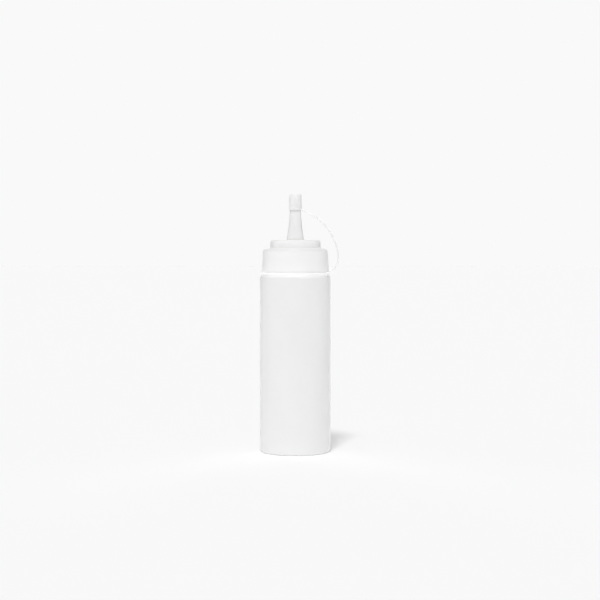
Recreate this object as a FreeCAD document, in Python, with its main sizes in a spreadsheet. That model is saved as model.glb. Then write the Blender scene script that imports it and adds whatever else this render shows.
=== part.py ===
import FreeCAD, Part

import math
import os

import Sketcher
from FreeCAD import Vector

# A soft polyethylene squeeze bottle for sauces. The blow-moulded bottle and its screw cap are the
# two pieces. The cap is one moulding: skirt, raised deck, bored nozzle, and a strap that bows out
# from the skirt's rim to the cover pushed down on the nozzle's tip.
# The bottle stands on the ground at the origin, +Z is up, and the strap bows out towards +X.

document = FreeCAD.newDocument("SqueezeBottle")

# name, millimetres or degrees, what it sets
drivingSizes = [
    ("bodyDiameter", 52.0, "outside of the straight body"),
    ("bodyWall", 1.0, "side wall of the body"),
    ("bodyHeight", 130.0, "ground to the shoulder's outer corner"),
    ("floorWall", 1.3, "floor of the bottle"),
    ("heelRadius", 1.4, "round between the base and the body"),
    ("standWidth", 2.8, "flat ring that touches the ground"),
    ("pushUp", 2.2, "how far the base is pushed up inside that ring"),
    ("pushUpSlope", 5.0, "width of the slope around the pushed-up floor"),
    ("pushUpRadius", 4.0, "round between that slope and the floor"),
    ("shoulderWidth", 3.2, "from the body's side in to the neck ring"),
    ("shoulderRise", 0.5, "climb of the shoulder over that width"),
    ("shoulderRadius", 2.8, "round between the body and the shoulder"),
    ("shoulderWall", 1.3, "wall of the shoulder"),
    ("neckRingHeight", 1.3, "ring at the foot of the neck"),
    ("neckRingStep", 2.2, "how far that ring stands out from the neck"),
    ("neckHeight", 15.5, "neck above its ring"),
    ("neckWall", 1.7, "wall of the neck"),
    ("neckEdge", 0.4, "rounds on the neck ring and on the mouth"),
    ("capGap", 0.2, "clearance between the neck ring and the cap's rim"),
    ("seatClearance", 0.4, "between the mouth and the cap's underside"),
    ("threadRoom", 1.25, "room for the thread between neck and skirt"),
    ("skirtWall", 1.85, "wall of the skirt"),
    ("skirtFlare", 0.95, "how much wider the skirt's rim is than its top"),
    ("skirtCorner", 3.4, "round at the top of the skirt"),
    ("capWall", 1.8, "top of the cap and side of the deck"),
    ("plugWall", 2.05, "ring that plugs the mouth"),
    ("plugDepth", 3.0, "how deep that ring reaches into the mouth"),
    ("plugClearance", 0.1, "between that ring and the mouth"),
    ("plugEdge", 0.4, "rounds on that ring's foot"),
    ("deckHeight", 5.8, "raised deck above the skirt's top"),
    ("deckEdge", 1.5, "round along the deck's edge"),
    ("deckFoot", 0.4, "round between the skirt's top and the deck"),
    ("nozzleBase", 12.9, "nozzle's diameter at the deck"),
    ("nozzleWaist", 9.6, "nozzle's diameter where the flare of its foot ends"),
    ("nozzleTip", 6.6, "nozzle's diameter at its tip"),
    ("nozzleHeight", 31.7, "nozzle above the deck"),
    ("waistHeight", 10.4, "waist above the deck"),
    ("waistRound", 120.0, "long round that blends the flare into the waist"),
    ("nozzleFoot", 0.5, "round where the nozzle leaves the deck"),
    ("nozzleEdge", 0.3, "round on the tip"),
    ("boreBase", 10.0, "bore's diameter under the deck"),
    ("boreTip", 2.6, "bore's diameter at the tip"),
    ("coverClearance", 0.15, "between the nozzle and its cover"),
    ("coverGrip", 9.7, "how far the cover reaches down the nozzle"),
    ("coverWall", 0.5, "wall of the cover above its lip"),
    ("coverShoulder", 1.05, "wall of the cover beside the nozzle's tip"),
    ("coverTop", 1.95, "top of the cover over the nozzle's tip"),
    ("coverEdge", 1.0, "round along the cover's top"),
    ("lipHeight", 1.3, "lip around the cover's mouth"),
    ("lipStep", 0.1, "how far that lip stands out"),
    ("strapWidth", 3.2, "strap across"),
    ("strapThickness", 1.1, "strap through"),
    ("strapEdge", 0.3, "round along the strap's edges"),
    ("strapReach", 7.0, "strap's middle, furthest out from the skirt's rim"),
    ("hingeRadius", 2.0, "bend where the strap leaves the skirt"),
    ("riserAngle", 47.0, "how steeply it climbs from that bend"),
    ("riserLength", 2.4, "straight climb after that bend"),
    ("kneeRadius", 10.2, "bend up to the steepest place"),
    ("bowTurn", 21.0, "turn of the strap's outer bow"),
    ("crestTurn", 50.0, "turn of its run in to the cover"),
]

sheet = document.addObject("Spreadsheet::Sheet", "Sizes")
for row, (name, value, meaning) in enumerate(drivingSizes, start=1):
    sheet.set(f"A{row}", meaning)
    sheet.set(f"B{row}", str(value))
    sheet.setAlias(f"B{row}", name)
document.recompute()


class Size:
    """A size and the formula that binds it to the sheet."""

    def __init__(self, value, formula):
        self.value = value
        self.formula = formula

    def __add__(self, other):
        return Size(self.value + number(other), f"({self.formula} + {formula(other)})")

    def __sub__(self, other):
        return Size(self.value - number(other), f"({self.formula} - {formula(other)})")

    def __mul__(self, other):
        return Size(self.value * number(other), f"({self.formula} * {formula(other)})")

    def __truediv__(self, other):
        return Size(self.value / number(other), f"({self.formula} / {formula(other)})")

    def __neg__(self):
        return Size(-self.value, f"(-{self.formula})")


def number(size):
    return size.value if isinstance(size, Size) else size


def formula(size):
    return size.formula if isinstance(size, Size) else str(size)


def size(name):
    return Size(float(sheet.get(name)), f"Sizes.{name}")


def smaller(first, second):
    return Size(min(first.value, second.value), f"min({first.formula}; {second.formula})")


def newBody(label):
    body = document.addObject("PartDesign::Body", label)
    body.Label = label
    return body


def newSketch(body, name, plane):
    sketch = body.newObject("Sketcher::SketchObject", name)
    support = [face for face in body.Origin.OriginFeatures if face.Role == plane][0]
    sketch.AttachmentSupport = (support, [""])
    sketch.MapMode = "FlatFace"
    return sketch


def bind(sketch, constraint, wanted):
    """Adds a constraint whose value follows the sheet."""
    place = sketch.addConstraint(constraint)
    sketch.setExpression(f"Constraints[{place}]", formula(wanted))


def pin(sketch, edge, end, across, up):
    """Holds one end of an edge at its place in the sketch."""
    for kind, axis, wanted in (("DistanceX", -2, across), ("DistanceY", -1, up)):
        if number(wanted) == 0:
            sketch.addConstraint(Sketcher.Constraint("PointOnObject", edge, end, axis))
        else:
            measure = Sketcher.Constraint(kind, -1, 1, edge, end, number(wanted))
            bind(sketch, measure, wanted)


def cornerArc(before, corner, after, radius):
    """Arc that rounds a corner, the points where it meets the lines, and the numbers of those ends."""
    onto = (corner - before).normalize()
    away = (after - corner).normalize()
    turn = math.atan2(onto.cross(away).z, onto.dot(away))
    reach = radius * math.tan(abs(turn) / 2)
    start = corner - onto * reach
    finish = corner + away * reach
    centre = start + Vector(-onto.y, onto.x, 0) * math.copysign(radius, turn)
    first = start if turn > 0 else finish
    angle = math.atan2(first.y - centre.y, first.x - centre.x)
    circle = Part.Circle(centre, Vector(0, 0, 1), radius)
    ends = (1, 2) if turn > 0 else (2, 1)
    return Part.ArcOfCircle(circle, angle, angle + abs(turn)), start, finish, ends


def fitCorner(sketch, before, after, corner, arc, ends):
    """Ties two sides to the corner between them, and to the arc that rounds it if it has one."""
    across, up = corner[:2]
    if arc is None:
        sketch.addConstraint(Sketcher.Constraint("Coincident", before, 2, after, 1))
        pin(sketch, after, 1, across, up)
        return
    radius = corner[2]
    edge = sketch.addGeometry(arc, False)
    sketch.addConstraint(Sketcher.Constraint("Tangent", before, 2, edge, ends[0]))
    sketch.addConstraint(Sketcher.Constraint("Tangent", after, 1, edge, ends[1]))
    bind(sketch, Sketcher.Constraint("Radius", edge, number(radius)), radius)
    peak = sketch.addGeometry(Part.Point(Vector(number(across), number(up), 0)), True)
    sketch.addConstraint(Sketcher.Constraint("PointOnObject", peak, 1, before))
    sketch.addConstraint(Sketcher.Constraint("PointOnObject", peak, 1, after))
    pin(sketch, peak, 1, across, up)


def outline(body, name, corners, plane="XZ_Plane"):
    """Closed outline through the corners: across, up and, on a rounded corner, its radius."""
    sketch = newSketch(body, name, plane)
    points = [Vector(number(corner[0]), number(corner[1]), 0) for corner in corners]
    rounds = []
    for place, corner in enumerate(corners):
        before = points[place - 1]
        after = points[(place + 1) % len(points)]
        if len(corner) == 3:
            rounds.append(cornerArc(before, points[place], after, number(corner[2])))
        else:
            rounds.append((None, points[place], points[place], None))
    for place, (_, _, leaving, _) in enumerate(rounds):
        arriving = rounds[(place + 1) % len(rounds)][1]
        sketch.addGeometry(Part.LineSegment(leaving, arriving), False)
    for place, (arc, _, _, ends) in enumerate(rounds):
        fitCorner(sketch, (place - 1) % len(points), place, corners[place], arc, ends)
    return sketch


def revolve(body, name, sketch):
    feature = body.newObject("PartDesign::Revolution", name)
    feature.Profile = sketch
    feature.ReferenceAxis = (sketch, ["V_Axis"])
    feature.Angle = 360
    document.recompute()
    return feature


def hollow(body, name, sketch):
    """Cuts a revolved outline out of the body, and makes sure that it cut something."""
    before = body.Shape.Volume
    feature = body.newObject("PartDesign::Groove", name)
    feature.Profile = sketch
    feature.ReferenceAxis = (sketch, ["V_Axis"])
    feature.Angle = 360
    document.recompute()
    if body.Shape.Volume > before - 1:
        raise RuntimeError(f"{name} removed nothing")
    return feature


# What the pieces share: the bottle's neck sets the cap, and the nozzle sets its cover.
bodyRadius = size("bodyDiameter") / 2
ringRadius = bodyRadius - size("shoulderWidth")
neckRadius = ringRadius - size("neckRingStep")
mouthRadius = neckRadius - size("neckWall")
neckFoot = size("bodyHeight") + size("shoulderRise")
ringTop = neckFoot + size("neckRingHeight")
mouthHeight = ringTop + size("neckHeight")


def makeBottle():
    bottle = newBody("bottle")
    corner = size("bodyHeight")
    standRadius = bodyRadius - size("heelRadius") - size("standWidth")
    floorRadius = standRadius - size("pushUpSlope")
    shoulderRound = smaller(size("shoulderRadius"), size("shoulderWidth") + size("shoulderRise"))
    edge = size("neckEdge")
    outside = outline(
        bottle,
        "outsideOutline",
        [
            (0, size("pushUp")),
            (floorRadius, size("pushUp"), size("pushUpRadius")),
            (standRadius, 0),
            (bodyRadius, 0, size("heelRadius")),
            (bodyRadius, corner, shoulderRound),
            (ringRadius, neckFoot),
            (ringRadius, ringTop, edge),
            (neckRadius, ringTop),
            (neckRadius, mouthHeight, edge),
            (0, mouthHeight),
        ],
    )
    revolve(bottle, "outside", outside)

    # The shoulder's underside runs parallel to its top and carries on to the mouth's bore.
    cavityRadius = bodyRadius - size("bodyWall")
    cavityCorner = corner - size("shoulderWall")
    climb = size("shoulderRise") / size("shoulderWidth") * (cavityRadius - mouthRadius)
    floorTop = size("pushUp") + size("floorWall")
    cavity = outline(
        bottle,
        "cavityOutline",
        [
            (0, floorTop),
            (floorRadius, floorTop, size("pushUpRadius")),
            (standRadius, size("floorWall")),
            (cavityRadius, size("floorWall"), size("heelRadius") - size("bodyWall")),
            (cavityRadius, cavityCorner, shoulderRound - size("bodyWall")),
            (mouthRadius, cavityCorner + climb),
            (mouthRadius, mouthHeight),
            (0, mouthHeight),
        ],
    )
    hollow(bottle, "cavity", cavity)
    return bottle


# Heights in the cap are counted from its rim.
seatHeight = size("neckHeight") - size("capGap") + size("seatClearance")
capHeight = seatHeight + size("capWall")
deckTop = capHeight + size("deckHeight")
tipHeight = deckTop + size("nozzleHeight")
coverFoot = tipHeight - size("coverGrip")
nozzleRadius = size("nozzleBase") / 2
tipRadius = size("nozzleTip") / 2
waistRadius = size("nozzleWaist") / 2
taper = (waistRadius - tipRadius) / (size("nozzleHeight") - size("waistHeight"))
socketRadius = tipRadius + taper * size("coverGrip") + size("coverClearance")
skirtRadius = neckRadius + size("threadRoom")
rimRadius = skirtRadius + size("skirtFlare") + size("skirtWall")


class StrapLine:
    """Chain of tangent lines and arcs that turns left as it goes."""

    def __init__(self, sketch, across, up):
        self.sketch = sketch
        self.point = Vector(number(across), number(up), 0)
        self.heading = 0.0
        self.last = -1

    def add(self, curve, finish):
        edge = self.sketch.addGeometry(curve, False)
        if self.last >= 0:
            self.sketch.addConstraint(Sketcher.Constraint("Tangent", self.last, 2, edge, 1))
        self.point = finish
        self.last = edge
        return edge

    def run(self, length):
        turn = math.radians(self.heading)
        finish = self.point + Vector(math.cos(turn), math.sin(turn), 0) * number(length)
        return self.add(Part.LineSegment(self.point, finish), finish)

    def bend(self, radius, turn):
        radius = number(radius)
        start = math.radians(self.heading - 90)
        self.heading += number(turn)
        stop = math.radians(self.heading - 90)
        centre = self.point - Vector(math.cos(start), math.sin(start), 0) * radius
        finish = centre + Vector(math.cos(stop), math.sin(stop), 0) * radius
        circle = Part.Circle(centre, Vector(0, 0, 1), radius)
        return self.add(Part.ArcOfCircle(circle, start, stop), finish)


def strapPath(cap):
    """The strap's middle line, from inside the skirt's wall to inside the cover's."""
    rootRadius = rimRadius - size("skirtWall") / 2
    middle = size("strapThickness") / 2
    furthest = rimRadius + size("strapReach")
    sketch = newSketch(cap, "strapPath", "XZ_Plane")
    line = StrapLine(sketch, rootRadius, middle)
    root = line.run(size("skirtWall"))
    hinge = line.bend(size("hingeRadius"), size("riserAngle"))
    riser = line.run(size("riserLength"))
    knee = line.bend(size("kneeRadius"), -size("riserAngle") + 90)
    # The last two radii aren't sizes. They start near the nozzle's height, and the sketch
    # settles them so that the strap ends in the cover's wall.
    bow = line.bend(size("nozzleHeight"), size("bowTurn"))
    crest = line.bend(size("nozzleHeight"), size("crestTurn"))

    sketch.addConstraint(Sketcher.Constraint("Horizontal", root))
    sketch.addConstraint(Sketcher.Constraint("Horizontal", knee, 3, knee, 2))
    pin(sketch, root, 1, rootRadius, middle)
    for arc, radius in ((hinge, size("hingeRadius")), (knee, size("kneeRadius"))):
        bind(sketch, Sketcher.Constraint("Radius", arc, radius.value), radius)
    for edge, turn in ((riser, "riserAngle"), (bow, "bowTurn"), (crest, "crestTurn")):
        angle = Sketcher.Constraint("Angle", edge, math.radians(size(turn).value))
        bind(sketch, angle, size(turn))
    bind(sketch, Sketcher.Constraint("Distance", riser, size("riserLength").value), size("riserLength"))
    bind(sketch, Sketcher.Constraint("DistanceX", -1, 1, knee, 2, furthest.value), furthest)
    pin(sketch, crest, 2, socketRadius + size("coverWall") / 2, coverFoot + middle)
    return sketch


def strapSection(cap):
    """The strap's flat section, at the root of its path."""
    side = size("strapWidth") / 2
    edge = size("strapEdge")
    corners = [
        (-side, 0, edge),
        (side, 0, edge),
        (side, size("strapThickness"), edge),
        (-side, size("strapThickness"), edge),
    ]
    section = outline(cap, "strapSection", corners, "YZ_Plane")
    section.setExpression("AttachmentOffset.Base.z", formula(rimRadius - size("skirtWall") / 2))
    return section


def makeStrap(cap):
    path = strapPath(cap)
    section = strapSection(cap)
    document.recompute()
    strap = cap.newObject("PartDesign::AdditivePipe", "strap")
    strap.Profile = section
    strap.Spine = (path, [f"Edge{place + 1}" for place in range(len(path.Geometry))])
    document.recompute()
    return strap


def makeCover(cap):
    """The cover on the nozzle's tip: a cup whose socket follows the nozzle's taper."""
    lipTop = coverFoot + size("lipHeight")
    coverTopHeight = tipHeight + size("coverClearance") + size("coverTop")
    coverRadius = socketRadius + size("coverWall")
    coverTopRadius = tipRadius + size("coverClearance") + size("coverShoulder")
    lipRadius = coverRadius + size("lipStep")
    outside = outline(
        cap,
        "coverOutline",
        [
            (0, coverFoot),
            (lipRadius, coverFoot),
            (lipRadius, lipTop),
            (coverRadius, lipTop),
            (coverTopRadius, coverTopHeight, size("coverEdge")),
            (0, coverTopHeight),
        ],
    )
    revolve(cap, "cover", outside)
    socketTopRadius = tipRadius + size("coverClearance")
    socketTop = tipHeight + size("coverClearance")
    socket = outline(
        cap,
        "socketOutline",
        [(0, coverFoot), (socketRadius, coverFoot), (socketTopRadius, socketTop), (0, socketTop)],
    )
    hollow(cap, "socket", socket)


def makeCap():
    cap = newBody("screw_cap")
    makeStrap(cap)
    makeCover(cap)
    skirtTopRadius = skirtRadius + size("skirtWall")
    plugRadius = mouthRadius - size("plugClearance")
    deckBore = plugRadius - size("plugWall")
    deckRadius = deckBore + size("capWall")
    deckUnder = deckTop - size("capWall")
    plugFoot = seatHeight - size("plugDepth")
    shell = outline(
        cap,
        "shellOutline",
        [
            (skirtRadius + size("skirtFlare"), 0),
            (rimRadius, 0),
            (skirtTopRadius, capHeight, size("skirtCorner")),
            (deckRadius, capHeight, size("deckFoot")),
            (deckRadius, deckTop, size("deckEdge")),
            (nozzleRadius, deckTop, size("nozzleFoot")),
            (waistRadius, deckTop + size("waistHeight"), size("waistRound")),
            (tipRadius, tipHeight, size("nozzleEdge")),
            (size("boreTip") / 2, tipHeight),
            (size("boreBase") / 2, deckUnder),
            (deckBore, deckUnder),
            (deckBore, plugFoot, size("plugEdge")),
            (plugRadius, plugFoot, size("plugEdge")),
            (plugRadius, seatHeight),
            (skirtRadius, seatHeight),
        ],
    )
    revolve(cap, "shell", shell)
    cap.setExpression("Placement.Base.z", formula(ringTop + size("capGap")))
    return cap


def checkAndExport(bodies):
    document.recompute()
    for item in document.Objects:
        if "Invalid" in item.State or "Error" in item.State:
            raise RuntimeError(f"{item.Label} failed: {item.State}")
    for body in bodies:
        shape = body.Shape
        if shape.isNull() or not shape.isValid() or len(shape.Solids) != 1:
            raise RuntimeError(f"{body.Label} isn't one valid solid")
    os.makedirs("parts", exist_ok=True)
    for body in bodies:
        body.Shape.exportStep(f"parts/{body.Label}.step")
        print(f"{body.Label}: {body.Shape.Volume / 1000:.2f} cm3")


checkAndExport([makeBottle(), makeCap()])
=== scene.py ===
import math

import bmesh
import bpy
from mathutils import Matrix, Vector


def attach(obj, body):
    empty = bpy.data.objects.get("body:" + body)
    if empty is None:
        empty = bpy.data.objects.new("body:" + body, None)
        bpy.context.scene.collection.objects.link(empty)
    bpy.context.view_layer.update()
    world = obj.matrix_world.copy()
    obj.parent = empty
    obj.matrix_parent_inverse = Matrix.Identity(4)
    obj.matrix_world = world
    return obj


# Milky squeeze bottle, empty, with its nozzle cap screwed on and the tip cover pushed down.
# Metres throughout, ground at z = 0, strap towards +X.

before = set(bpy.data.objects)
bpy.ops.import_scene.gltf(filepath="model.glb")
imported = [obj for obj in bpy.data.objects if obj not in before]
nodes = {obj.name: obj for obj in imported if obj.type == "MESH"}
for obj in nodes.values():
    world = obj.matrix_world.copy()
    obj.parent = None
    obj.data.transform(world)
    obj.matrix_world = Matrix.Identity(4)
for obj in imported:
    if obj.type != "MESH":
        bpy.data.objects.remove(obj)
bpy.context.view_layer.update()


# A value on its way through the nodes; sums on it add their Math nodes.
class Wire:
    def __init__(self, graph, socket):
        self.graph = graph
        self.socket = socket

    def __add__(self, other):
        return self.graph.maths("ADD", self, other)

    def __radd__(self, other):
        return self.graph.maths("ADD", other, self)

    def __sub__(self, other):
        return self.graph.maths("SUBTRACT", self, other)

    def __rsub__(self, other):
        return self.graph.maths("SUBTRACT", other, self)

    def __mul__(self, other):
        return self.graph.maths("MULTIPLY", self, other)

    def __rmul__(self, other):
        return self.graph.maths("MULTIPLY", other, self)

    def __abs__(self):
        return self.graph.maths("ABSOLUTE", self)

    # 0 below low, 1 above high, smooth between them
    def rise(self, low, high):
        return self.graph.add(
            "ShaderNodeMapRange",
            {"interpolation_type": "SMOOTHSTEP"},
            {"Value": self, "From Min": low, "From Max": high, "To Min": 0.0, "To Max": 1.0},
        )


class Graph:
    def __init__(self, tree):
        self.tree = tree
        tree.nodes.clear()

    def add(self, kind, settings=None, inputs=None, output=0):
        node = self.tree.nodes.new(kind)
        for name, value in (settings or {}).items():
            setattr(node, name, value)
        for name, value in (inputs or {}).items():
            self.feed(node.inputs[name], value)
        return Wire(self, node.outputs[output]) if node.outputs else node

    def feed(self, socket, value):
        if isinstance(value, Wire):
            self.tree.links.new(value.socket, socket)
        else:
            socket.default_value = value

    def maths(self, operation, first, second=0.0):
        return self.add("ShaderNodeMath", {"operation": operation}, {0: first, 1: second})

    # noise on the piece's own coordinates, stretched by three factors
    def noise(self, scale, stretch=(1, 1, 1), detail=3.0, roughness=0.5):
        spot = self.add("ShaderNodeTexCoord", output="Object")
        placed = self.add("ShaderNodeMapping", {}, {"Vector": spot, "Scale": stretch})
        return self.add(
            "ShaderNodeTexNoise", {},
            {"Vector": placed, "Scale": scale, "Detail": detail, "Roughness": roughness},
        )

    def parts(self, vector):
        return [self.add("ShaderNodeSeparateXYZ", {}, {"Vector": vector}, output=way) for way in "XYZ"]

    # front to back, upwards and out from the bottle's middle line, in the piece's own coordinates
    def places(self):
        across, along, up = self.parts(self.add("ShaderNodeTexCoord", output="Object"))
        outward = self.maths("POWER", across * across + along * along, 0.5)
        return along, up, outward

    # the second tone over the first, by the factor
    def blend(self, factor, first, second):
        mix = self.add("ShaderNodeMix", {"data_type": "RGBA"}, {"Factor": factor}, output=2)
        sockets = mix.socket.node.inputs
        self.feed(sockets[6], first)
        self.feed(sockets[7], second)
        return mix


def newMaterial(name):
    material = bpy.data.materials.new(name)
    material.use_nodes = True
    return material, Graph(material.node_tree)


# Milky polyethylene, the same in both mouldings. Density is how strongly it bends light, and clear
# the share that goes straight through. A pattern has its noise scale, its stretch and detail, the
# range of the noise that counts, and the share of it that is used.
plastic = {
    "density": 1.51,
    "clear": 0.05,
    "cloudScale": 38,
    "cloudStretch": (1, 1, 0.45),
    "cloudRange": (0.35, 0.68),
    "cloudShare": 0.5,
    "grainScale": 2600,
    "grainDetail": 2.0,
    "grainShare": 0.25,
    "waveScale": 55,
    "waveStretch": (1, 1, 0.4),
    "waveDetail": 1.0,
    "waveShare": 0.5,
    "scuffScale": 420,
    "scuffStretch": (1, 1, 0.3),
    "scuffDetail": 4.0,
    "scuffRoughness": 0.62,
    "scuffRange": (0.45, 0.75),
    "scuffShare": 0.06,
    "bumpStrength": 0.12,
    "bumpDepth": 0.0004,
}

# Painted light: the slot between the shoulder and the cap's rim glows, standing in for the light that
# the thin shell lets into it. The glow's strength, its middle height, then the start and the end of the
# fade at half its height, inside and outside.
notchGlowShape = {
    "light": 0.39,
    "middle": 0.13135,
    "half": (0.0007, 0.0010),
    "inside": (0.0220, 0.0222),
    "outside": (0.0243, 0.0246),
}


# painted glow: emission in a band around the slot, used in both mouldings
def paintedNotchGlow(up, outward):
    level = 1 - abs(up - notchGlowShape["middle"]).rise(*notchGlowShape["half"])
    ring = outward.rise(*notchGlowShape["inside"]) * (1 - outward.rise(*notchGlowShape["outside"]))
    return level * ring * notchGlowShape["light"]


# tall soft patches where the wall is denser
def cloudedTone(g, look):
    cloud = g.noise(plastic["cloudScale"], plastic["cloudStretch"]).rise(*plastic["cloudRange"])
    return g.blend(cloud * plastic["cloudShare"], look["thin"], look["thick"])


# fine grain, and long waves from the mould
def mouldedRelief(g):
    grain = g.noise(plastic["grainScale"], detail=plastic["grainDetail"])
    wave = g.noise(plastic["waveScale"], plastic["waveStretch"], plastic["waveDetail"])
    return grain * plastic["grainShare"] + wave * plastic["waveShare"]


def milkyPlastic(g, look, colour, relief, coat, light, depth):
    bump = g.add("ShaderNodeBump", {}, {
        "Height": relief,
        "Strength": plastic["bumpStrength"],
        "Distance": plastic["bumpDepth"],
    })
    scuff = g.noise(plastic["scuffScale"], plastic["scuffStretch"], plastic["scuffDetail"],
                    plastic["scuffRoughness"]).rise(*plastic["scuffRange"])
    return g.add("ShaderNodeBsdfPrincipled", {"subsurface_method": "RANDOM_WALK"}, {
        "Base Color": colour,
        "Roughness": look["roughness"] + scuff * plastic["scuffShare"],
        "IOR": plastic["density"],
        "Specular IOR Level": look["shine"],
        "Transmission Weight": plastic["clear"],
        "Subsurface Weight": 1.0,
        "Subsurface Radius": (1.0, 1.0, 1.0),
        "Subsurface Scale": depth,
        "Coat Weight": coat,
        "Coat Roughness": look["coatRoughness"],
        # painted light: the glow in the slot under the cap's rim
        "Emission Color": light,
        "Emission Strength": 1.0,
        "Normal": bump,
    })


# Thin and thick are the tones of a lighter and a denser wall, worn that of the rubbed ring and the
# parting line, and shoulder a painted shade that darkens everything from the shoulder's round up, so that
# its top-lit face shines less. Depth is how far light wanders in the wall. Up and Out are the heights
# and radii between which a zone comes in, or with End in the name goes out again.
bottleLook = {
    "thin": (0.965, 0.965, 0.962, 1),
    "thick": (0.945, 0.945, 0.941, 1),
    "worn": (0.860, 0.860, 0.853, 1),
    # painted shade: darker from the shoulder's round up, against its top-lit shine
    "shoulder": (0.850, 0.850, 0.846, 1),
    "roughness": 0.34,
    "shine": 0.5,
    "coat": 0.8,
    "coatRoughness": 0.16,
    "depth": 0.0013,
    "shoulderUp": (0.1280, 0.1297),
    "rubScale": 900,
    "rubDetail": 2.0,
    "rubRange": (0.42, 0.62),
    "rubEndUp": (0.0001, 0.0009),
    "seamHalf": (0.00005, 0.00030),
    "seamOut": (0.0200, 0.0215),
    "seamTone": 0.5,
    "seamRelief": 3.0,
}


# Blown shell: a clouded wall, a rubbed standing ring, the parting line up both sides, and painted shade
# from the shoulder's round up.
def bottlePlastic():
    look = bottleLook
    material, g = newMaterial("bottlePlastic")
    along, up, outward = g.places()
    rub = g.noise(look["rubScale"], detail=look["rubDetail"]).rise(*look["rubRange"])
    rub = rub * (1 - up.rise(*look["rubEndUp"]))
    seam = (1 - abs(along).rise(*look["seamHalf"])) * outward.rise(*look["seamOut"])
    colour = cloudedTone(g, look)
    # painted shade from the shoulder's round up
    colour = g.blend(up.rise(*look["shoulderUp"]), colour, look["shoulder"])
    colour = g.blend(rub, colour, look["worn"])
    colour = g.blend(seam * look["seamTone"], colour, look["worn"])
    relief = mouldedRelief(g) + seam * look["seamRelief"]
    # its emission is the painted glow in the slot
    shell = milkyPlastic(g, look, colour, relief, look["coat"], paintedNotchGlow(up, outward), look["depth"])
    g.add("ShaderNodeOutputMaterial", {}, {"Surface": shell})
    return material


# One shot of plastic in slightly different tones, with painted light and shade among them: painted shade
# darkens the tops of its steps and the strap, and painted light brightens the nozzle under the cover's
# brim and the strap's upper part. The thin cover and the strap's upper part have a depth of their own,
# and only the bare nozzle has the stronger coat.
capLook = {
    "thin": (0.962, 0.962, 0.959, 1),
    "thick": (0.944, 0.944, 0.940, 1),
    "deck": (0.930, 0.930, 0.927, 1),
    "spout": (0.880, 0.880, 0.877, 1),
    # painted shade: darker tops of the steps and of the cover, against their top-lit shine
    "paintedTopShade": (0.790, 0.790, 0.786, 1),
    "cover": (0.905, 0.905, 0.902, 1),
    # painted shade: the strap darker than the rest of the cap
    "strap": (0.870, 0.870, 0.867, 1),
    # painted light: the nozzle just under the cover's brim lighter, against the brim's cast shadow
    "paintedBrimLight": (0.985, 0.985, 0.982, 1),
    # painted light: the strap's upper part lighter, against the shade on its underside
    "strapTop": (0.965, 0.965, 0.962, 1),
    "roughness": 0.36,
    "shine": 0.2,
    "coat": 0.05,
    "spoutCoat": 0.75,
    "coatRoughness": 0.20,
    "depth": 0.0016,
    "coverDepth": 0.0009,
    "deckUp": (0.1492, 0.1500),
    "spoutUp": (0.1555, 0.1575),
    "brimUp": (0.1748, 0.1758),
    "coverUp": (0.1771, 0.1774),
    "coverTopUp": (0.1879, 0.1888),
    "skirtTopUp": (0.1455, 0.1478),
    "skirtTopEndUp": (0.1496, 0.1499),
    "deckTopUp": (0.1536, 0.1544),
    "loopOut": (0.0052, 0.0062),
    "hingeOut": (0.0249, 0.0254),
    "strapTopUp": (0.1600, 0.1680),
    "thinStrapUp": (0.1500, 0.1600),
    "gateOut": (0.0007, 0.0010),
    "gateUp": (0.1885, 0.1888),
    "gateRelief": 0.8,
}


# Moulded cap, with the gate's dimple on top of the cover.
def capPlastic():
    look = capLook
    material, g = newMaterial("capPlastic")
    _, up, outward = g.places()
    deck = up.rise(*look["deckUp"])
    spout = up.rise(*look["spoutUp"])
    cover = up.rise(*look["coverUp"])
    loop = (outward.rise(*look["loopOut"]) * spout + outward.rise(*look["hingeOut"])).rise(0.0, 1.0)
    bare = 1 - loop
    # painted shade on the tops of the skirt, the deck and the cover
    paintedTopShade = up.rise(*look["skirtTopUp"]) * (1 - up.rise(*look["skirtTopEndUp"]))
    paintedTopShade = paintedTopShade + up.rise(*look["deckTopUp"]) * (1 - spout)
    # painted light on the nozzle under the cover's brim
    paintedBrimLight = up.rise(*look["brimUp"]) * (1 - cover) * bare
    # painted light up the strap's upper part
    strapTop = loop * up.rise(*look["strapTopUp"])
    gate = (1 - outward.rise(*look["gateOut"])) * up.rise(*look["gateUp"])

    colour = cloudedTone(g, look)
    # tone zones; the step tops and the strap are painted shade, the brim and the strap's top painted light
    zones = ((deck, "deck"), (spout, "spout"), (paintedTopShade, "paintedTopShade"), (cover, "cover"), (loop, "strap"),
             (paintedBrimLight, "paintedBrimLight"), (strapTop, "strapTop"), (up.rise(*look["coverTopUp"]), "paintedTopShade"))
    for mask, tone in zones:
        colour = g.blend(mask, colour, look[tone])
    relief = mouldedRelief(g) - gate * look["gateRelief"]
    coat = look["coat"] + spout * (1 - cover) * bare * look["spoutCoat"]
    # painted light: the glow in the slot, as emission
    light = paintedNotchGlow(up, outward)

    thickWall = milkyPlastic(g, look, colour, relief, coat, light, look["depth"])
    thinWall = milkyPlastic(g, look, colour, relief, coat, light, look["coverDepth"])
    thinPart = cover * bare + loop * up.rise(*look["thinStrapUp"])
    surface = g.add("ShaderNodeMixShader", {}, {0: thinPart, 1: thickWall, 2: thinWall})
    g.add("ShaderNodeOutputMaterial", {}, {"Surface": surface})
    return material


def dress(node, material):
    for slot in nodes[node].material_slots:
        slot.material = material


bottleFinish = bottlePlastic()
dress("bottle", bottleFinish)
dress("screw_cap", capPlastic())
print("plastic on")


# The pinch-off weld that the mould leaves across the pushed-up base: a round bead with tapered ends,
# its upper half sunk in the base. Each step is how far the bead runs on and how much it widens there.
weld = {
    "radius": 0.0003,
    "sides": 20,
    "steps": ((0.0014, 2.6), (0.0180, 1.0), (0.0014, 1 / 2.6)),
    "roof": 0.0022,
    "sunk": 0.0002,
}


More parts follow.
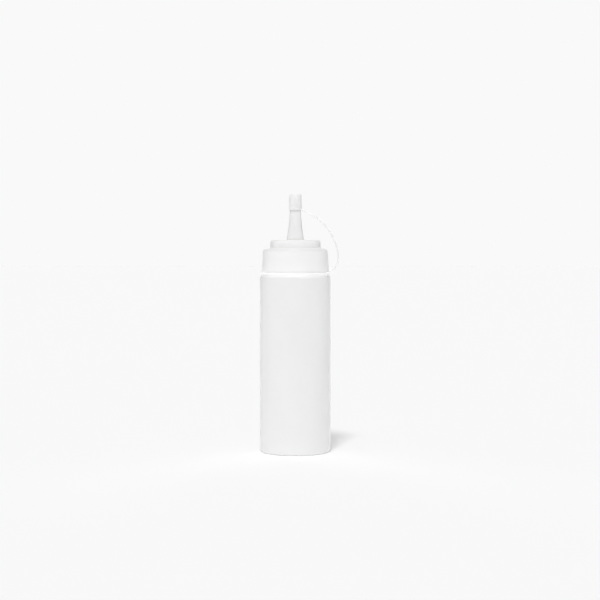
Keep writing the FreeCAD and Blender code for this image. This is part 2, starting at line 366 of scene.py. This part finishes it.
def makeWeld():
    shape = bmesh.new()
    bmesh.ops.create_circle(shape, cap_ends=False, segments=weld["sides"], radius=weld["radius"])
    rim = shape.edges[:]
    for run, widen in weld["steps"]:
        grown = bmesh.ops.extrude_edge_only(shape, edges=rim)["geom"]
        rim = [item for item in grown if isinstance(item, bmesh.types.BMEdge) and item.is_boundary]
        tip = [item for item in grown if isinstance(item, bmesh.types.BMVert)]
        bmesh.ops.translate(shape, verts=tip, vec=(0, 0, run))
        bmesh.ops.scale(shape, verts=tip, vec=(widen, widen, 1))
    length = sum(run for run, widen in weld["steps"])
    bmesh.ops.translate(shape, verts=shape.verts, vec=(0, 0, -length / 2))
    level = Matrix.Rotation(math.radians(90), 3, "Y")
    bmesh.ops.rotate(shape, verts=shape.verts, cent=(0, 0, 0), matrix=level)
    bmesh.ops.translate(shape, verts=shape.verts, vec=(0, 0, weld["roof"] + weld["sunk"]))
    bmesh.ops.holes_fill(shape, edges=shape.edges)
    bmesh.ops.recalc_face_normals(shape, faces=shape.faces)
    for face in shape.faces:
        face.smooth = len(face.verts) == 4
    bead = bpy.data.meshes.new("baseWeld")
    shape.to_mesh(bead)
    shape.free()
    piece = bpy.data.objects.new("baseWeld", bead)
    bpy.context.scene.collection.objects.link(piece)
    bead.materials.append(bottleFinish)
    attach(piece, "root")


makeWeld()
print("weld made")


# White paper that glows a little, wide enough to reach the horizon.
ground = {
    "reach": 40.0,
    "sides": 96,
    "paper": (0.80, 0.80, 0.80, 1),
    "glow": 0.133,
}


def layFloor():
    shape = bmesh.new()
    bmesh.ops.create_circle(shape, cap_ends=True, segments=ground["sides"], radius=ground["reach"])
    sheet = bpy.data.meshes.new("floor")
    shape.to_mesh(sheet)
    shape.free()
    floor = bpy.data.objects.new("floor", sheet)
    bpy.context.scene.collection.objects.link(floor)
    material, g = newMaterial("paleFloor")
    paper = g.add("ShaderNodeBsdfDiffuse", {}, {"Color": ground["paper"], "Roughness": 0.0})
    glow = g.add("ShaderNodeEmission", {}, {"Color": (1, 1, 1, 1), "Strength": ground["glow"]})
    both = g.add("ShaderNodeAddShader", {}, {0: paper, 1: glow})
    g.add("ShaderNodeOutputMaterial", {}, {"Surface": both})
    sheet.materials.append(material)


# Soft key lamp from the front, a little to the left; angles in degrees.
keyLamp = {
    "turn": 8,
    "height": 60,
    "spread": 12,
    "strength": 1.70,
}


def hangKey():
    lamp = bpy.data.lights.new("key", "SUN")
    lamp.energy = keyLamp["strength"]
    lamp.angle = math.radians(keyLamp["spread"])
    key = bpy.data.objects.new("key", lamp)
    turn = math.radians(keyLamp["turn"])
    height = math.radians(keyLamp["height"])
    reach = math.cos(height)
    towards = Vector((-math.sin(turn) * reach, -math.cos(turn) * reach, math.sin(height)))
    key.rotation_euler = towards.to_track_quat("Z", "Y").to_euler()
    bpy.context.scene.collection.objects.link(key)


# The room by direction, tones with 1 for white. A flag is the share that a dark panel behind the
# bottle takes on its side. Each pair is where a zone starts and is full, as parts of a unit vector.
room = {
    "backdrop": (0.947, 0.947, 0.947, 1),
    "front": 0.55,
    "strip": 0.20,
    "left": 0.85,
    "right": 0.80,
    "back": 0.90,
    "top": 0.50,
    "leftFlag": 1.0,
    "rightFlag": 0.95,
    "leftToRight": (-0.6, 0.6),
    "frontZone": (0.15, 0.85),
    "backZone": (0.3, 0.8),
    "topZone": (0.3, 0.9),
    "stripZone": (0.0, 0.6),
    "stripHeight": 0.06,
    "stripHalf": (0.06, 0.24),
    "flagSide": (0.3, 0.5),
    "flagStart": (0.35, 0.6),
    "flagEnd": (0.8, 0.95),
}


def lightRoom():
    world = bpy.data.worlds.new("studio")
    world.use_nodes = True
    bpy.context.scene.world = world
    g = Graph(world.node_tree)
    across, depth, height = g.parts(g.add("ShaderNodeTexCoord", output="Generated"))
    nearer = 0 - depth
    side = room["left"] + across.rise(*room["leftToRight"]) * (room["right"] - room["left"])
    ahead = nearer.rise(*room["frontZone"])
    behind = depth.rise(*room["backZone"])
    overhead = height.rise(*room["topZone"])
    around = side * (1 - ahead - behind) + ahead * room["front"] + behind * room["back"]
    strip = nearer.rise(*room["stripZone"]) * (1 - abs(height - room["stripHeight"]).rise(*room["stripHalf"]))
    panels = depth.rise(*room["flagStart"]) * (1 - depth.rise(*room["flagEnd"]))
    rightShade = across.rise(*room["flagSide"]) * room["rightFlag"]
    leftShade = (0 - across).rise(*room["flagSide"]) * room["leftFlag"]
    tone = around * (1 - overhead) + overhead * room["top"] + strip * room["strip"]
    tone = tone * (1 - panels * (rightShade + leftShade))
    seen = g.add("ShaderNodeLightPath", output="Is Camera Ray")
    light = g.add("ShaderNodeBackground", {}, {"Color": (1, 1, 1, 1), "Strength": tone})
    backdrop = g.add("ShaderNodeBackground", {}, {"Color": room["backdrop"], "Strength": 1.0})
    both = g.add("ShaderNodeMixShader", {}, {0: seen, 1: light, 2: backdrop})
    g.add("ShaderNodeOutputWorld", {}, {"Surface": both})


# Lens and film in millimetres, and the tilt down in degrees.
view = {
    "lens": 75.9,
    "film": 36,
    "place": (0.00343, -0.93, 0.139),
    "down": 1.7,
}


def placeCamera():
    lens = bpy.data.cameras.new("camera")
    lens.lens = view["lens"]
    lens.sensor_width = view["film"]
    camera = bpy.data.objects.new("camera", lens)
    camera.location = view["place"]
    camera.rotation_euler = (math.radians(90 - view["down"]), 0, 0)
    bpy.context.scene.collection.objects.link(camera)
    bpy.context.scene.camera = camera


layFloor()
hangKey()
lightRoom()
placeCamera()
scene = bpy.context.scene
scene.view_settings.view_transform = "Standard"
scene.view_settings.look = "None"
print("studio set")
